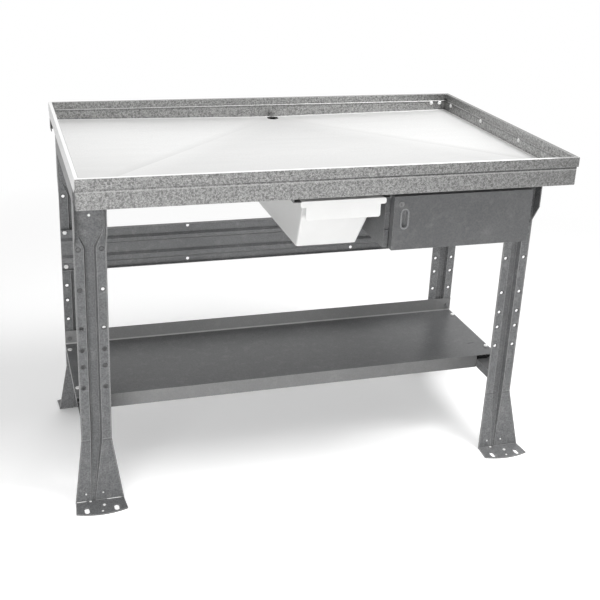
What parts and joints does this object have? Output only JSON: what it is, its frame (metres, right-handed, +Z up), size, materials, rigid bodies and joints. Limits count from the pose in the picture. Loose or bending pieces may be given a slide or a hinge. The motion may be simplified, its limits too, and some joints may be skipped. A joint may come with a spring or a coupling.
{
  "type": "drain work table",
  "caption": "Industrial drain work table: stainless tray top falling to a rear drain, pressed legs, lower shelf, rear stringer, pull-out drain pan and lockable storage drawer.",
  "frame": {"origin": "on the floor under the middle of the tray top", "axes": "+X to the right along the table's length as seen from the front, +Y towards the rear stringer, +Z up"},
  "size_m": [1.26, 0.762, 0.895],
  "materials": {
    "brushed_stainless": "brushed stainless sheet",
    "grey_paint": "glossy grey enamel on steel sheet",
    "white_plastic": "moulded white plastic, satin",
    "zinc_steel": "zinc-plated",
    "slide_steel": "cold-rolled, plated",
    "satin_chrome": "satin chrome"
  },
  "bodies": {
    "bench": {"tray_top": "brushed_stainless", "front_apron": "brushed_stainless", "rear_apron": "brushed_stainless", "drain_spout": "zinc_steel", "front_leg_left": "grey_paint", "front_leg_right": "grey_paint", "rear_leg_left": "grey_paint", "rear_leg_right": "grey_paint", "end_channel_left": "grey_paint", "end_channel_right": "grey_paint", "lower_rail_left": "grey_paint", "lower_rail_right": "grey_paint", "lower_shelf": "grey_paint", "rear_stringer": "grey_paint", "pan_rail_left": "grey_paint", "pan_rail_right": "grey_paint", "drawer_housing": "grey_paint", "slide_fixed_left": "slide_steel", "slide_fixed_right": "slide_steel", "bolt_top_front_left": "zinc_steel", "bolt_top_front_right": "zinc_steel", "bolt_top_rear_left": "zinc_steel", "bolt_top_rear_right": "zinc_steel", "bolt_shelf_front_left": "zinc_steel", "bolt_shelf_front_right": "zinc_steel", "bolt_shelf_rear_left": "zinc_steel", "bolt_shelf_rear_right": "zinc_steel", "bolt_upstand_left": "zinc_steel", "bolt_upstand_right": "zinc_steel", "bolt_stringer_upper_left": "zinc_steel", "bolt_stringer_upper_right": "zinc_steel", "bolt_stringer_lower_left": "zinc_steel", "bolt_stringer_lower_right": "zinc_steel"},
    "drawer": {"drawer_box": "grey_paint", "drawer_front": "grey_paint", "drawer_pull": "grey_paint", "slide_drawer_left": "slide_steel", "slide_drawer_right": "slide_steel"},
    "slide_members": {"slide_middle_left": "slide_steel", "slide_middle_right": "slide_steel"},
    "lock": {"lock_plug": "satin_chrome"},
    "pan": {"drain_pan": "white_plastic"}
  },
  "joints": [
    {"name": "drawer_slide", "type": "slide", "parent": "bench", "child": "drawer", "axis": [0, -1, 0], "range_m": [0, 0.38]},
    {"name": "slide_members_slide", "type": "slide", "parent": "bench", "child": "slide_members", "axis": [0, -1, 0], "range_m": [0, 0.19]},
    {"name": "lock_turn", "type": "hinge", "parent": "drawer", "child": "lock", "pos_m": [0.1615, -0.3403, 0.7855], "axis": [0, 1, 0], "range_deg": [0, 90]},
    {"name": "pan_slide", "type": "slide", "parent": "bench", "child": "pan", "axis": [0, -1, 0], "range_m": [0, 0.3]}
  ],
  "couplings": [
    {"joint": "slide_members_slide", "follows": "drawer_slide", "ratio": 0.5}
  ]
}
